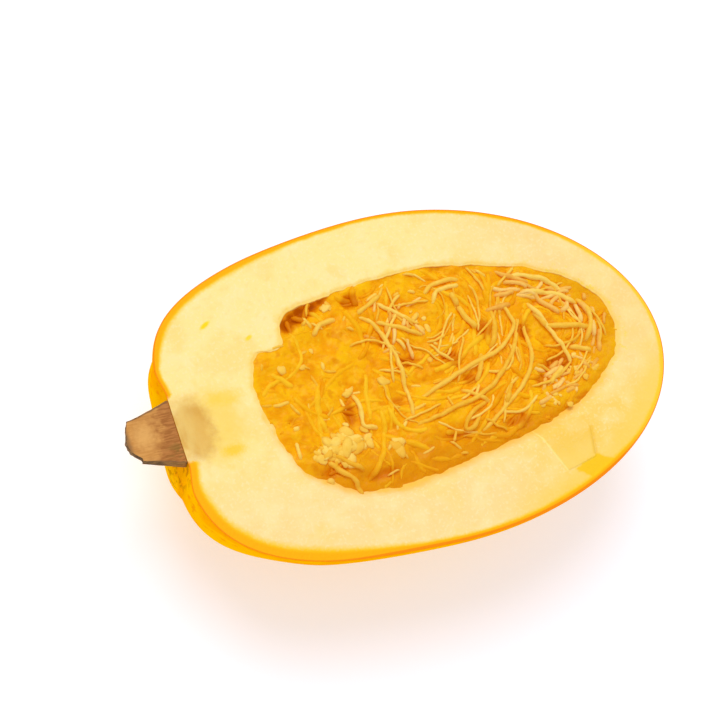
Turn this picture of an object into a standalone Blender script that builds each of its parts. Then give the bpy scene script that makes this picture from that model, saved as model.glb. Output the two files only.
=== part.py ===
"""Half of a spaghetti squash, cut along its length and lying on its back with the cut face up.

Units are metres, with +Z up. The squash's axis runs along X, from the stem at -X to the blossom end at +X, and
lies in the cut face. The origin is on the ground, under the middle of the squash's length.
"""

import math
import random

import bmesh
import bpy
from mathutils import Vector, noise

# Size and outline of the squash
HALF_LENGTH = 0.1098
HALF_WIDTH = 0.0710
DEPTH = 0.0690  # from the cut face down to the belly, before the belly is flattened
FLATTENED = 0.0012  # the belly rests on a small flat this deep
FACE_Z = DEPTH - FLATTENED
STEM_END_POWER = 0.25  # a blunt end
BLOSSOM_END_POWER = 0.50  # an elliptical end
BLOSSOM_BOW = -0.0026  # the axis bends this far to the side at the blossom end
STEM_BOW = -0.0057
RIB_COUNT = 10
RIB_DEPTH = 0.0007
RIB_DEPTH_AT_STEM = 0.0030
PIT_DEPTH = 0.0026  # the stem sits in a shallow pit
PIT_RADIUS = 0.0270
SEAT_RADIUS = 0.0136  # the flat bottom of the pit

# The seed cavity, which the loosened pulp fills to the brim
CAVITY_X = -0.0200
CAVITY_TO_STEM = 0.0510
CAVITY_TO_BLOSSOM = 0.1110
CAVITY_HALF_WIDTH = 0.0420
CAVITY_DEPTH = 0.0400
TONGUE_DEPTH = 0.10  # a tongue of flesh juts into the cavity, as a share of its reach
TONGUE_ANGLE = math.radians(134)
TONGUE_SPREAD = math.radians(8)
PULP_GAP = 0.0005

# The stem, cut lengthwise with the squash
STEM_ROOT_X = -0.1075
STEM_LENGTH = 0.0182
STEM_DOME = 0.0026
STEM_ROOT_RADIUS = 0.0131
STEM_END_RADIUS = 0.0087
STEM_RIDGES = 5
STEM_RIDGE_SHARE = 0.09

# How finely the round shapes are divided
STATIONS = 36  # along the squash
TURN_STEPS = 30  # round the half
RING_STEPS = 2 * STATIONS
CAVITY_ROWS = 7

# The threads of pulp
MAIN_THREAD_RADIUS = 0.0012
SHORT_THREAD_RADIUS = 0.0010
THREAD_STEP = 0.0065
THREAD_END_SINK = 0.0018  # the ends run this deep into the mass
THREAD_SEED = 50
LONG_SWIRL = (0.060, 0.009)  # the threads of the blossom half turn round this point
LONG_THREADS = 32
LONG_THREAD_SPREAD = (-0.004, 0.084)  # from here to here along X
GRAINS = 34
GRAIN_SPREAD = (-0.066, 0.004)

# The threads that stand out. Each has its height over the pulp, then the points that it runs through, in
# millimetres from the middle of the squash.
MAIN_THREADS = (
    (1.0, ((-19, 30), (-13, 24), (-9, 9), (-9, -9), (-10, -17))),
    (2.4, ((43, 25), (46, 13), (42, 7), (34, 2), (15, -3), (-5, -10))),
    (1.5, ((49, 14), (45, 6), (39, -2), (24, -13), (3, -18), (-10, -20))),
    (0.9, ((51, 13), (50, 4), (48, -5), (41, -14), (24, -25), (17, -29))),
    (1.7, ((24, -17), (14, -21), (10, -26), (13, -27), (18, -22))),
    (1.2, ((50, 33), (59, 31), (68, 27), (75, 20))),
    (1.0, ((55, 25), (64, 23), (72, 20), (78, 15))),
    (1.3, ((79, 17), (81, 12), (80, 5), (76, -2))),
    (1.6, ((57, 16), (60, 9), (67, 6), (80, 3))),
    (2.0, ((56, 20), (60, 10), (63, 1), (66, -10))),
    (1.2, ((12, 33), (17, 36), (24, 37), (30, 36))),
    (0.9, ((14, 28), (18, 33), (29, 34))),
    (1.1, ((-9, 34), (-4, 29), (5, 21))),
    (1.6, ((-12, 26), (-4, 21), (6, 16))),
    (0.8, ((-19, 31), (-12, 34), (-7, 37))),
    (0.8, ((-40, 26), (-36, 30), (-28, 31))),
    (1.9, ((25, 25), (27, 19), (30, 14))),
    (1.3, ((38, 21), (38, 13), (33, 4))),
    (1.2, ((23, 31), (25, 25))),
    (1.3, ((-32, -1), (-31, -8), (-32, -15), (-26, -17))),
    (1.5, ((-48, -24), (-43, -29), (-38, -33))),
    (1.2, ((36, -12), (31, -20))),
    (1.4, ((62, -10), (53, -16))),
    (1.7, ((28, 3), (22, -8))),
    (1.2, ((67, -3), (77, -6))),
    (1.6, ((14, -10), (25, -18))),
)


def smooth(low, high, value):
    """Rises from 0 at low to 1 at high, with no corner."""
    share = min(1.0, max(0.0, (value - low) / (high - low)))
    return share * share * (3 - 2 * share)


def clear_scene():
    for thing in list(bpy.data.objects):
        bpy.data.objects.remove(thing, do_unlink=True)


def make_material(name, colour, roughness):
    material = bpy.data.materials.new(name)
    material.use_nodes = True
    shader = material.node_tree.nodes["Principled BSDF"]
    shader.inputs["Base Color"].default_value = (*colour, 1)
    shader.inputs["Roughness"].default_value = roughness
    shader.inputs["Metallic"].default_value = 0
    material.diffuse_color = (*colour, 1)
    return material


def add_object(name, shape, collection, material):
    """Turns a finished shape into an object with outward faces, lifted so that the cut face is at its height."""
    bmesh.ops.recalc_face_normals(shape, faces=shape.faces)
    bmesh.ops.translate(shape, verts=shape.verts, vec=(0, 0, FACE_Z))
    mesh = bpy.data.meshes.new(name)
    shape.to_mesh(mesh)
    shape.free()
    mesh.materials.append(material)
    mesh.shade_smooth()
    mesh.set_sharp_from_angle(angle=math.radians(40))
    thing = bpy.data.objects.new(name, mesh)
    collection.objects.link(thing)
    return thing


def half_turned(profile, steps):
    """A profile of (x, radius) points, spun half a turn below the X axis. Its two ends are on the axis."""
    shape = bmesh.new()
    points = [shape.verts.new((x, radius, 0)) for x, radius in profile]
    edges = [shape.edges.new(pair) for pair in zip(points, points[1:])]
    bmesh.ops.spin(
        shape, geom=points + edges, axis=(1, 0, 0), cent=(0, 0, 0), angle=-math.pi, steps=steps, use_merge=False
    )
    bmesh.ops.remove_doubles(shape, verts=shape.verts, dist=1e-6)
    return shape


def girth(x):
    """The squash's half-width, blunt towards the stem and elliptical towards the blossom end."""
    share = x / HALF_LENGTH
    power = STEM_END_POWER + (BLOSSOM_END_POWER - STEM_END_POWER) * smooth(-0.6, 0.35, share)
    return HALF_WIDTH * max(0.0, 1 - share * share) ** power


def bow(x):
    """How far the axis bends to the side."""
    share = x / HALF_LENGTH
    return BLOSSOM_BOW * share * share if x > 0 else STEM_BOW * share * share * (1 - share * share)


def skin_profile():
    """Points closer together towards the blunt stem end, where the outline turns fastest."""
    points = []
    for station in range(STATIONS + 1):
        turn = math.pi * station / STATIONS
        if turn < math.pi / 2:
            turn = math.pi / 2 * (turn / (math.pi / 2)) ** 1.6
        x = -HALF_LENGTH * math.cos(turn)
        at_end = station in (0, STATIONS)
        points.append((x, 0.0 if at_end else girth(x)))
    return points


def shape_skin(shape):
    """Adds the ribs, the pit of the stem and the bow to the turned half."""
    for point in shape.verts:
        x, y, z = point.co
        radius = math.hypot(y, z)
        angle = math.atan2(-z, y)
        near_stem = smooth(-0.060, -0.100, x)
        rib_depth = (RIB_DEPTH + (RIB_DEPTH_AT_STEM - RIB_DEPTH) * near_stem) * smooth(0.016, 0.034, radius)
        radius -= rib_depth * (1 - math.cos(RIB_COUNT * angle)) / 2
        pit = PIT_DEPTH * (1 - smooth(SEAT_RADIUS, PIT_RADIUS, radius)) if x < 0 else 0
        point.co = (
            x + pit,
            radius * math.cos(angle) + bow(x),
            -radius * math.sin(angle) * DEPTH / HALF_WIDTH,
        )


def cavity_point(direction, inset):
    """Where a direction from the middle of the cavity meets its wall, moved in by an inset."""
    along, across, up = direction
    towards_stem = along < 0
    reach = (CAVITY_TO_STEM if towards_stem else CAVITY_TO_BLOSSOM) - inset
    width = (1 - min(1.0, abs(along)) ** 2) ** (1 / 2 if towards_stem else 1 / 2.3)
    flat_length = math.hypot(across, up) or 1.0
    turn = math.atan2(across, along) - TONGUE_ANGLE
    tongue = TONGUE_DEPTH * math.exp(-((turn / TONGUE_SPREAD) ** 2)) * smooth(0.75, 0.15, abs(up))
    x = CAVITY_X + reach * along * (1 - tongue)
    y = (CAVITY_HALF_WIDTH - inset) * width * across / flat_length * (1 - tongue)
    z = (CAVITY_DEPTH - inset) * width * up / flat_length
    return Vector((x, y + cavity_middle(x), z))


def cavity_middle(x):
    """The cavity's middle line drifts to the side."""
    return 0.011 * smooth(-0.057, -0.076, x) + 0.0044 * smooth(-0.030, 0.020, x)


def cavity_share(x, y):
    """0 in the middle of the cavity, 1 on its edge in the cut face."""
    reach = CAVITY_TO_STEM if x < CAVITY_X else CAVITY_TO_BLOSSOM
    along = (x - CAVITY_X) / reach
    across = (y - cavity_middle(x)) / CAVITY_HALF_WIDTH
    return math.sqrt(along * along + abs(across) ** 2.1)


def pulp_height(x, y):
    """The height of the pulp's lumpy top over the cut face."""
    lumps = 0.0020 * noise.noise(Vector((x, y, 0)) / 0.013) + 0.0008 * noise.noise(Vector((x, y, 0.1)) / 0.009)
    edge = 0.0014 * smooth(0.80, 1.0, cavity_share(x, y))
    hollow = 0.0030 * math.exp(-(((x + 0.042) / 0.012) ** 2 + ((y - 0.034) / 0.006) ** 2))
    return -0.0008 + lumps - edge - hollow


def make_squash(collection):
    """Rind and flesh, which grew as one piece, with the cavity, the pit of the stem and the flat belly."""
    shape = half_turned(skin_profile(), TURN_STEPS)
    shape_skin(shape)
    under_ground = FLATTENED - DEPTH
    cut = bmesh.ops.bisect_plane(
        shape,
        geom=shape.verts[:] + shape.edges[:] + shape.faces[:],
        plane_co=(0, 0, under_ground),
        plane_no=(0, 0, -1),
        clear_outer=True,
    )
    ground_edges = [part for part in cut["geom_cut"] if isinstance(part, bmesh.types.BMEdge)]
    bmesh.ops.contextual_create(shape, geom=ground_edges)

    rim = [edge for edge in shape.edges if edge.is_boundary]
    ball = bmesh.ops.create_uvsphere(shape, u_segments=RING_STEPS, v_segments=2 * CAVITY_ROWS, radius=1)
    upper = [point for point in ball["verts"] if point.co.z > 1e-4]
    wall = [point for point in ball["verts"] if point.co.z <= 1e-4]
    bmesh.ops.delete(shape, geom=upper, context="VERTS")
    for point in wall:
        point.co = cavity_point(point.co.normalized(), 0)
    brim = [edge for edge in shape.edges if edge.is_boundary and edge not in rim]
    bmesh.ops.triangle_fill(shape, use_beauty=True, use_dissolve=False, edges=rim + brim, normal=(0, 0, 1))
    return add_object("squash_half", shape, collection, make_material("flesh and rind", (0.95, 0.70, 0.22), 0.45))


def make_stem(collection):
    """The woody stem with its ridges, split by the same cut. It stands on the seat in the stem's pit."""
    rows = 6
    profile = [(STEM_ROOT_X, 0.0), (STEM_ROOT_X, STEM_ROOT_RADIUS * 0.5)]
    for row in range(rows + 1):
        share = row / rows
        flare = (1 - share) ** 1.3
        radius = STEM_END_RADIUS + (STEM_ROOT_RADIUS - STEM_END_RADIUS) * flare
        profile.append((STEM_ROOT_X - STEM_LENGTH * share, radius))
    for share in (0.85, 0.55, 0.0):
        dome = STEM_DOME * (1 - share**3)
        profile.append((STEM_ROOT_X - STEM_LENGTH - dome, STEM_END_RADIUS * share))
    shape = half_turned(profile, TURN_STEPS)
    for point in shape.verts:
        x, y, z = point.co
        angle = math.atan2(-z, y)
        ridge = 1 + STEM_RIDGE_SHARE * math.sin(STEM_RIDGES * angle)
        ragged = 0.0006 * noise.noise(Vector((x, y, z)) / 0.004) * smooth(-0.116, -0.125, x)
        point.co = (x + ragged, y * ridge, z * ridge)
    rim = [edge for edge in shape.edges if edge.is_boundary]
    bmesh.ops.contextual_create(shape, geom=rim)
    return add_object("stem", shape, collection, make_material("dry stem", (0.55, 0.33, 0.14), 0.8))


def pulp_brim_point(direction):
    """Where the pulp's top meets the cavity's flat-sided wall, a little below the cut face."""
    dip = math.pi / 2 / CAVITY_ROWS
    level = cavity_point(direction, PULP_GAP)
    below = cavity_point(Vector((direction.x * math.cos(dip), direction.y * math.cos(dip), -math.sin(dip))), PULP_GAP)
    return level.lerp(below, pulp_height(level.x, level.y) / below.z)


def make_pulp_bed(collection, material):
    """The mass of pulp: the cavity's own shape below, a lumpy top above."""
    shape = bmesh.new()
    bmesh.ops.create_uvsphere(shape, u_segments=RING_STEPS, v_segments=2 * CAVITY_ROWS, radius=1)
    middle = cavity_point(Vector((0, 0, 1)), 0).xy
    for point in shape.verts:
        direction = point.co.normalized()
        if direction.z < -1e-4:
            point.co = cavity_point(direction, PULP_GAP)
            continue
        level = Vector((direction.x, direction.y, 0))
        brim = pulp_brim_point(level.normalized() if level.length > 1e-6 else Vector((1, 0, 0)))
        spread = 1 - math.asin(min(1.0, max(0.0, direction.z))) / (math.pi / 2)
        x, y = middle.lerp(brim.xy, spread)
        point.co = (x, y, brim.z if spread > 0.999 else pulp_height(x, y))
    return add_object("pulp", shape, collection, material)


def smooth_route(points, step):
    """Points about a step apart on a smooth curve through the given ones."""
    padded = [2 * points[0] - points[1], *points, 2 * points[-1] - points[-2]]
    route = []
    for before, start, end, after in zip(padded, padded[1:], padded[2:], padded[3:]):
        count = max(1, round((end - start).length / step))
        for number in range(count):
            t = number / count
            route.append(
                0.5
                * (
                    2 * start
                    + (end - before) * t
                    + (2 * before - 5 * start + 4 * end - after) * t * t
                    + (3 * start - before - 3 * end + after) * t * t * t
                )
            )
    return [*route, points[-1]]


def add_thread(route, lift, radius, bed, holder):
    """A thread of pulp that lies over the bed of pulp, with both ends sunk into it. It has four sides."""
    curve = bpy.data.curves.new("thread", "CURVE")
    curve.dimensions = "3D"
    curve.bevel_depth = radius
    curve.bevel_resolution = 0
    curve.use_fill_caps = True
    spline = curve.splines.new("POLY")
    spline.points.add(len(route) - 1)
    for number, place in enumerate(route):
        at_end = number in (0, len(route) - 1)
        ground = bed.ray_cast(Vector((place.x, place.y, 1)), Vector((0, 0, -1)))[1].z
        height = ground - THREAD_END_SINK if at_end else ground + lift
        spline.points[number].co = (place.x, place.y, height, 1)
    guide = bpy.data.objects.new("thread", curve)
    holder.objects.link(guide)
    bpy.context.view_layer.update()
    graph = bpy.context.evaluated_depsgraph_get()
    mesh = bpy.data.meshes.new_from_object(guide.evaluated_get(graph))
    bpy.data.objects.remove(guide, do_unlink=True)
    shape = bmesh.new()
    shape.from_mesh(mesh)
    bmesh.ops.remove_doubles(shape, verts=shape.verts, dist=1e-6)
    bmesh.ops.recalc_face_normals(shape, faces=shape.faces)
    shape.to_mesh(mesh)
    shape.free()
    holder.objects.link(bpy.data.objects.new("thread", mesh))


def scattered_thread(draw, spread, lengths, legs, swirling):
    """The route of a thread at a random place, which turns round the swirl where it is swirling."""
    while True:
        start = Vector((draw.uniform(*spread), draw.uniform(-0.036, 0.044)))
        heading = draw.uniform(0, 2 * math.pi)
        bend = draw.uniform(-1.0, 1.0)
        if swirling:
            arm = start - Vector(LONG_SWIRL)
            heading = math.atan2(arm.y, arm.x) + math.pi / 2 + draw.gauss(0, 0.45)
            bend = draw.uniform(0.2, 1.3)
        length = draw.uniform(*lengths)
        points = [start]
        for leg in range(legs):
            points.append(points[-1] + Vector((math.cos(heading), math.sin(heading))) * length / legs)
            heading += bend / legs
        if all(cavity_share(point.x, point.y) < 0.86 for point in points):
            return points


def keep_outer_surface(mesh):
    """Keeps the largest connected surface: it drops loose scraps, and fills any hollow that the threads sealed."""
    shape = bmesh.new()
    shape.from_mesh(mesh)
    bmesh.ops.triangulate(shape, faces=shape.faces)
    waiting = set(shape.faces)
    surfaces = []
    while waiting:
        front = [waiting.pop()]
        surface = list(front)
        while front:
            for edge in front.pop().edges:
                if len(edge.link_faces) != 2:
                    continue
                for face in waiting.intersection(edge.link_faces):
                    waiting.remove(face)
                    surface.append(face)
                    front.append(face)
        surfaces.append(surface)
    surfaces.sort(key=len)
    for surface in surfaces[:-1]:
        bmesh.ops.delete(shape, geom=surface, context="FACES")
    shape.to_mesh(mesh)
    shape.free()


def make_pulp(collection):
    """The pulp: its mass, the threads that stand out, and shorter ones all over, in one solid."""
    material = make_material("pulp", (0.88, 0.46, 0.04), 0.35)
    bed = make_pulp_bed(collection, material)
    bpy.context.view_layer.update()
    holder = bpy.data.collections.new("threads")
    bpy.context.scene.collection.children.link(holder)
    for lift, corners in MAIN_THREADS:
        points = [Vector((x, y)) / 1000 for x, y in corners]
        add_thread(smooth_route(points, THREAD_STEP), lift / 1000, MAIN_THREAD_RADIUS, bed, holder)
    draw = random.Random(THREAD_SEED)
    for number in range(LONG_THREADS):
        points = scattered_thread(draw, LONG_THREAD_SPREAD, (0.014, 0.026), 3, True)
        add_thread(points, draw.uniform(0.0003, 0.0014), SHORT_THREAD_RADIUS, bed, holder)
    for number in range(GRAINS):
        points = scattered_thread(draw, GRAIN_SPREAD, (0.008, 0.015), 2, False)
        add_thread(points, draw.uniform(0.0002, 0.0008), SHORT_THREAD_RADIUS, bed, holder)

    union = bed.modifiers.new("threads", "BOOLEAN")
    union.operation = "UNION"
    union.operand_type = "COLLECTION"
    union.collection = holder
    union.solver = "MANIFOLD"
    bpy.context.view_layer.update()
    graph = bpy.context.evaluated_depsgraph_get()
    joined = bpy.data.meshes.new_from_object(bed.evaluated_get(graph))
    bed.modifiers.remove(union)
    keep_outer_surface(joined)
    bed.data = joined
    for thread in list(holder.objects):
        bpy.data.objects.remove(thread, do_unlink=True)
    bpy.data.collections.remove(holder)
    return bed


clear_scene()
squash = bpy.data.collections.new("spaghetti squash half")
bpy.context.scene.collection.children.link(squash)
make_squash(squash)
make_stem(squash)
make_pulp(squash)
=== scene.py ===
"""Half a spaghetti squash, cut lengthwise and laid on its back on a white table, with its pulp in it."""

import math
import random

import bmesh
import bpy
from mathutils import Matrix, Vector, noise


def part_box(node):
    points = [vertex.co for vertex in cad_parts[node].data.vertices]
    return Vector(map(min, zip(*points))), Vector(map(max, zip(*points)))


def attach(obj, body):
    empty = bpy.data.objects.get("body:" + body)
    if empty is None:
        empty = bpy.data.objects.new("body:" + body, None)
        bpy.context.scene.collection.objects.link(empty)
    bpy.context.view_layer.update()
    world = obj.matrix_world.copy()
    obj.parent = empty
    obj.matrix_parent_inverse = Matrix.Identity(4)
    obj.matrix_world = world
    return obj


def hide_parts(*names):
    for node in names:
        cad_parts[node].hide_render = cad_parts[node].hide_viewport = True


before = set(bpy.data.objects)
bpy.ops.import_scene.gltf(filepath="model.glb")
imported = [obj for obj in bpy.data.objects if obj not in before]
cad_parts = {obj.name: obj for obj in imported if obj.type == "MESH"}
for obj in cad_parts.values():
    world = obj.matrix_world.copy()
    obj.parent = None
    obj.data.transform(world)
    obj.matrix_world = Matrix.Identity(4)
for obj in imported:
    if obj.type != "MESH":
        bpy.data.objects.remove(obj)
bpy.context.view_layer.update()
scene = bpy.context.scene


# Squash half, its shape. The rind and the flesh are one grown piece. A big knife split it from the stem to
# the blossom end. The hollow in the middle is where the pulp grew, and its brim slumps a little towards it.
half_length, half_width, face_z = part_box("squash_half")[1]
skin_depth = face_z + 0.0012
rib_count = 10
hollow_x = -0.0200
hollow_to_stem = 0.0510
hollow_to_blossom = 0.1110
hollow_half_width = 0.0420
hollow_depth = 0.0400
tongue_bearing = math.radians(139)
tongue_spread = math.radians(7)
scoop_bearing = math.radians(123)
scoop_spread = math.radians(10)
scoop_depth = 0.0024

# The cut is made of rings of points: millimetres in from the rim, then shares of the way across, then
# millimetres from the brim. Below, the hollow's wall has a ring at each of these angles, in degrees.
rings_from_rim = (0.35, 0.8, 1.4, 2.0, 2.8, 3.6, 4.6, 6.0, 8.0)
rings_across = (0.2, 0.4, 0.6, 0.8)
rings_to_brim = (9.0, 7.5, 6.2, 5.0, 4.0, 3.1, 2.3, 1.5, 0.8, 0.0)
wall_dips = (9, 18, 32, 50, 70)
far_from_skin = 30


def smooth(start, end, value):
    """0 at the start and beyond it, 1 at the end and beyond, with a soft rise between them."""
    share = min(1.0, max(0.0, (value - start) / (end - start)))
    return share * share * (3 - 2 * share)


def wave(size, x, y, z=0.0):
    """A smooth random height at a place, from -1 to 1, that rises and falls over about a size in metres."""
    return noise.noise(Vector((x, y, z)) / size)


def girth(x):
    """Half the squash's width at a place along it."""
    share = max(-1.0, min(1.0, x / half_length))
    power = 0.25 + 0.25 * smooth(-0.6, 0.35, share)
    return half_width * max(0.0, 1 - share * share) ** power


def bow(x):
    """How far the squash's middle line bends sideways."""
    share = x / half_length
    return -0.0026 * share * share if x > 0 else -0.0057 * share * share * (1 - share * share)


def skin_point(turn, angle):
    """A point of the skin, by its turn from the stem end and its angle down from the +Y side. It has faint
    ribs that deepen towards the stem, a pit where the stem grew, and shallow dents."""
    if turn < math.pi / 2:
        turn = math.pi / 2 * (turn / (math.pi / 2)) ** 1.6
    x = -half_length * math.cos(turn)
    radius = girth(x)
    near_stem = smooth(-0.060, -0.100, x)
    rib = (0.0007 + 0.0023 * near_stem) * smooth(0.016, 0.034, radius)
    radius -= rib * (1 - math.cos(rib_count * angle)) / 2
    pit = 0.0026 * (1 - smooth(0.0136, 0.0270, radius)) if x < 0 else 0
    y = radius * math.cos(angle)
    z = -radius * math.sin(angle) * skin_depth / half_width
    dent = 0.0004 * (1 + wave(0.022, x, y, z)) * smooth(0, -0.012, z)
    return Vector((x + pit, y + bow(x), max(z + dent, -face_z)))


def hollow_middle(x):
    """How far the hollow's middle line lies to the +Y side."""
    return 0.011 * smooth(-0.057, -0.076, x) + 0.0044 * smooth(-0.030, 0.020, x)


def hollow_point(along, across, up):
    """Where a direction from the hollow's middle meets its wall. A tongue of flesh juts in near the stem."""
    towards_stem = along < 0
    reach = hollow_to_stem if towards_stem else hollow_to_blossom
    width = (1 - min(1.0, abs(along)) ** 2) ** (1 / 2 if towards_stem else 1 / 2.3)
    flat_length = math.hypot(across, up) or 1.0
    turn = (math.atan2(across, along) - tongue_bearing) / tongue_spread
    tongue = 0.11 * math.exp(-turn * turn) * smooth(0.75, 0.15, abs(up))
    x = hollow_x + reach * along * (1 - tongue)
    y = hollow_half_width * width * across / flat_length * (1 - tongue)
    return Vector((x, y + hollow_middle(x), hollow_depth * width * up / flat_length))


def brim_point(bearing):
    """The edge of the hollow on the cut: a little torn, and scooped out beside the tongue."""
    place = hollow_point(math.cos(bearing), math.sin(bearing), 0)
    outward = (place.xy - Vector((hollow_x, 0))).normalized()
    torn = 0.0010 * wave(0.007, place.x, place.y, 0.3) + 0.0005 * wave(0.0025, place.x, place.y, 0.7)
    turn = (bearing - scoop_bearing) / scoop_spread
    torn += scoop_depth * math.exp(-turn * turn)
    return Vector((place.x + outward.x * torn, place.y + outward.y * torn, 0))


def on_low_side(bearing):
    """1 at the hollow's -Y side, which is the lower one in the picture, and 0 at its other side."""
    return smooth(-0.1, 0.9, -math.sin(bearing))


def brim_slump(bearing):
    """How deep and how wide the flesh slopes down at the brim: most on the low side."""
    low = on_low_side(bearing)
    return 0.0005 + 0.0032 * low, 0.0020 + 0.0065 * low


shape = bmesh.new()
bmesh.ops.create_uvsphere(shape, u_segments=320, v_segments=180, radius=1)
bmesh.ops.delete(shape, geom=[point for point in shape.verts if point.co.y < -1e-5], context="VERTS")
for point in shape.verts:
    turn = math.acos(max(-1.0, min(1.0, point.co.z)))
    point.co = skin_point(turn, abs(math.atan2(point.co.y, point.co.x)))
for name in ("bearing", "from_skin", "to_hollow"):
    shape.verts.layers.float.new(name)
rim_layer = shape.verts.layers.float_vector.new("rim")
# Each new layer makes the older handles stale, so these are fetched after the last.
bearing_layer = shape.verts.layers.float["bearing"]
depth_layer = shape.verts.layers.float["from_skin"]
hollow_layer = shape.verts.layers.float["to_hollow"]
rim = [edge for edge in shape.edges if edge.is_boundary]
for edge in rim:
    edge.smooth = False
    for point in edge.verts:
        x, y, z = point.co
        point[bearing_layer] = math.atan2((y - bow(x)) / half_width, x / half_length)
        point[rim_layer] = point.co


def next_ring(shape, edges, place):
    """Grows the sheet by a ring of faces from its open edges, and puts the new points in place."""
    grown = bmesh.ops.extrude_edge_only(shape, edges=edges)["geom"]
    points = [part for part in grown if isinstance(part, bmesh.types.BMVert)]
    for point in points:
        place(point)
    for point in points:
        for face in point.link_faces:
            face.material_index = 1
    return [part for part in grown if isinstance(part, bmesh.types.BMEdge) and part.is_boundary]


def place_on_face(point, from_rim=None, share=None, from_brim=None):
    """Puts a point on the cut, on the line from its place on the rim to its place on the brim."""
    start = point[rim_layer]
    end = brim_point(point[bearing_layer])
    gap = (end - start).length
    if share is not None:
        between = gap - (rings_from_rim[-1] + rings_to_brim[0]) / 1000
        from_rim = rings_from_rim[-1] / 1000 + between * share
    elif from_brim is not None:
        from_rim = gap - from_brim
    drop, width = brim_slump(point[bearing_layer])
    point.co = start.lerp(end, from_rim / gap)
    point.co.z = -drop * smooth(width, 0, gap - from_rim)
    point[depth_layer] = 1000 * from_rim
    point[hollow_layer] = 1000 * (gap - from_rim)


edges = rim
for millimetres in rings_from_rim:
    edges = next_ring(shape, edges, lambda point: place_on_face(point, from_rim=millimetres / 1000))
for share in rings_across:
    edges = next_ring(shape, edges, lambda point: place_on_face(point, share=share))
for millimetres in rings_to_brim:
    edges = next_ring(shape, edges, lambda point: place_on_face(point, from_brim=millimetres / 1000))


def place_on_wall(point, dip):
    """Puts a point on the hollow's wall, below its place on the brim."""
    bearing = point[bearing_layer]
    level = math.cos(dip)
    point.co = hollow_point(math.cos(bearing) * level, math.sin(bearing) * level, -math.sin(dip))
    point[depth_layer] = far_from_skin
    point[hollow_layer] = 0


for degrees in wall_dips:
    edges = next_ring(shape, edges, lambda point: place_on_wall(point, math.radians(degrees)))
bmesh.ops.contextual_create(shape, geom=edges, mat_nr=1)
bmesh.ops.translate(shape, verts=shape.verts, vec=(0, 0, face_z))


def shade_smooth(shape):
    """Turns all faces outward and shades them as one smooth surface."""
    bmesh.ops.recalc_face_normals(shape, faces=shape.faces)
    for face in shape.faces:
        face.smooth = True


shade_smooth(shape)


def add_piece(name, shape, materials):
    """Makes a piece of the object from a bmesh, which rides on the squash's only body."""
    mesh = bpy.data.meshes.new(name)
    shape.to_mesh(mesh)
    shape.free()
    for material in materials:
        mesh.materials.append(material)
    piece = bpy.data.objects.new(name, mesh)
    scene.collection.objects.link(piece)
    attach(piece, "root")
    return piece


# Squash half, its skin and its flesh. The skin is thin and golden, deeper orange along the furrows and by
# the cut, with greenish streaks near the stem and a few brown scuffs. The cut shows a bright rind line, then
# pale wet flesh with a rough khaki core behind the stem, a slice that the knife left, and fine grain.
class Value:
    """An output of a node in a material. Arithmetic with it adds Math nodes."""

    def __init__(self, tree, socket=None):
        self.tree = tree
        self.socket = socket

    def node(self, kind, settings=None, inputs=None, output=0):
        """Adds a node with these settings and socket values, and returns one of its outputs."""
        made = self.tree.nodes.new(kind)
        for name, setting in (settings or {}).items():
            setattr(made, name, setting)
        for name, given in (inputs or {}).items():
            if isinstance(given, Value):
                self.tree.links.new(given.socket, made.inputs[name])
            else:
                made.inputs[name].default_value = given
        return Value(self.tree, made.outputs[output])

    def maths(self, operation, first, second=0.0):
        return self.node("ShaderNodeMath", {"operation": operation}, {0: first, 1: second})

    def __add__(self, other):
        return self.maths("ADD", self, other)

    def __radd__(self, other):
        return self.maths("ADD", other, self)

    def __sub__(self, other):
        return self.maths("SUBTRACT", self, other)

    def __rsub__(self, other):
        return self.maths("SUBTRACT", other, self)

    def __mul__(self, other):
        return self.maths("MULTIPLY", self, other)

    def __rmul__(self, other):
        return self.maths("MULTIPLY", other, self)

    def __truediv__(self, other):
        return self.maths("DIVIDE", self, other)

    def __rtruediv__(self, other):
        return self.maths("DIVIDE", other, self)

    def __pow__(self, other):
        return self.maths("POWER", self, other)

    def __abs__(self):
        return self.maths("ABSOLUTE", self)


def colour(red, green, blue):
    """A colour in Blender's linear values, from the usual 0 to 255 values."""
    parts = (red / 255, green / 255, blue / 255)
    return (*(part / 12.92 if part <= 0.04045 else ((part + 0.055) / 1.055) ** 2.4 for part in parts), 1)


def new_material(name, roughness, **constants):
    """A material with its shader, and its place on the piece in millimetres."""
    material = bpy.data.materials.new(name)
    material.use_nodes = True
    tree = material.node_tree
    shader = tree.nodes["Principled BSDF"]
    shader.inputs["Roughness"].default_value = roughness
    for socket, constant in constants.items():
        shader.inputs[socket.replace("_", " ")].default_value = constant
    inside = Value(tree).node("ShaderNodeTexCoord", output="Object")
    place = inside.node("ShaderNodeVectorMath", {"operation": "SCALE"}, {0: inside, "Scale": 1000})
    return material, shader, place


def connect(value, shader, socket):
    value.tree.links.new(value.socket, shader.inputs[socket])


def split(place):
    """The three coordinates of a place."""
    parts = place.node("ShaderNodeSeparateXYZ", inputs={0: place})
    node = parts.socket.node
    return [Value(place.tree, node.outputs[axis]) for axis in "XYZ"]


def speckle(place, size, detail=2.0, stretch=(1, 1, 1)):
    """A cloudy pattern, about 0.25 to 0.75, in patches of a size in millimetres that may be stretched."""
    scale = [1 / size / part for part in stretch]
    scaled = place.node("ShaderNodeMapping", inputs={"Vector": place, "Scale": scale})
    return place.node("ShaderNodeTexNoise", inputs={"Vector": scaled, "Scale": 1.0, "Detail": detail})


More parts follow.
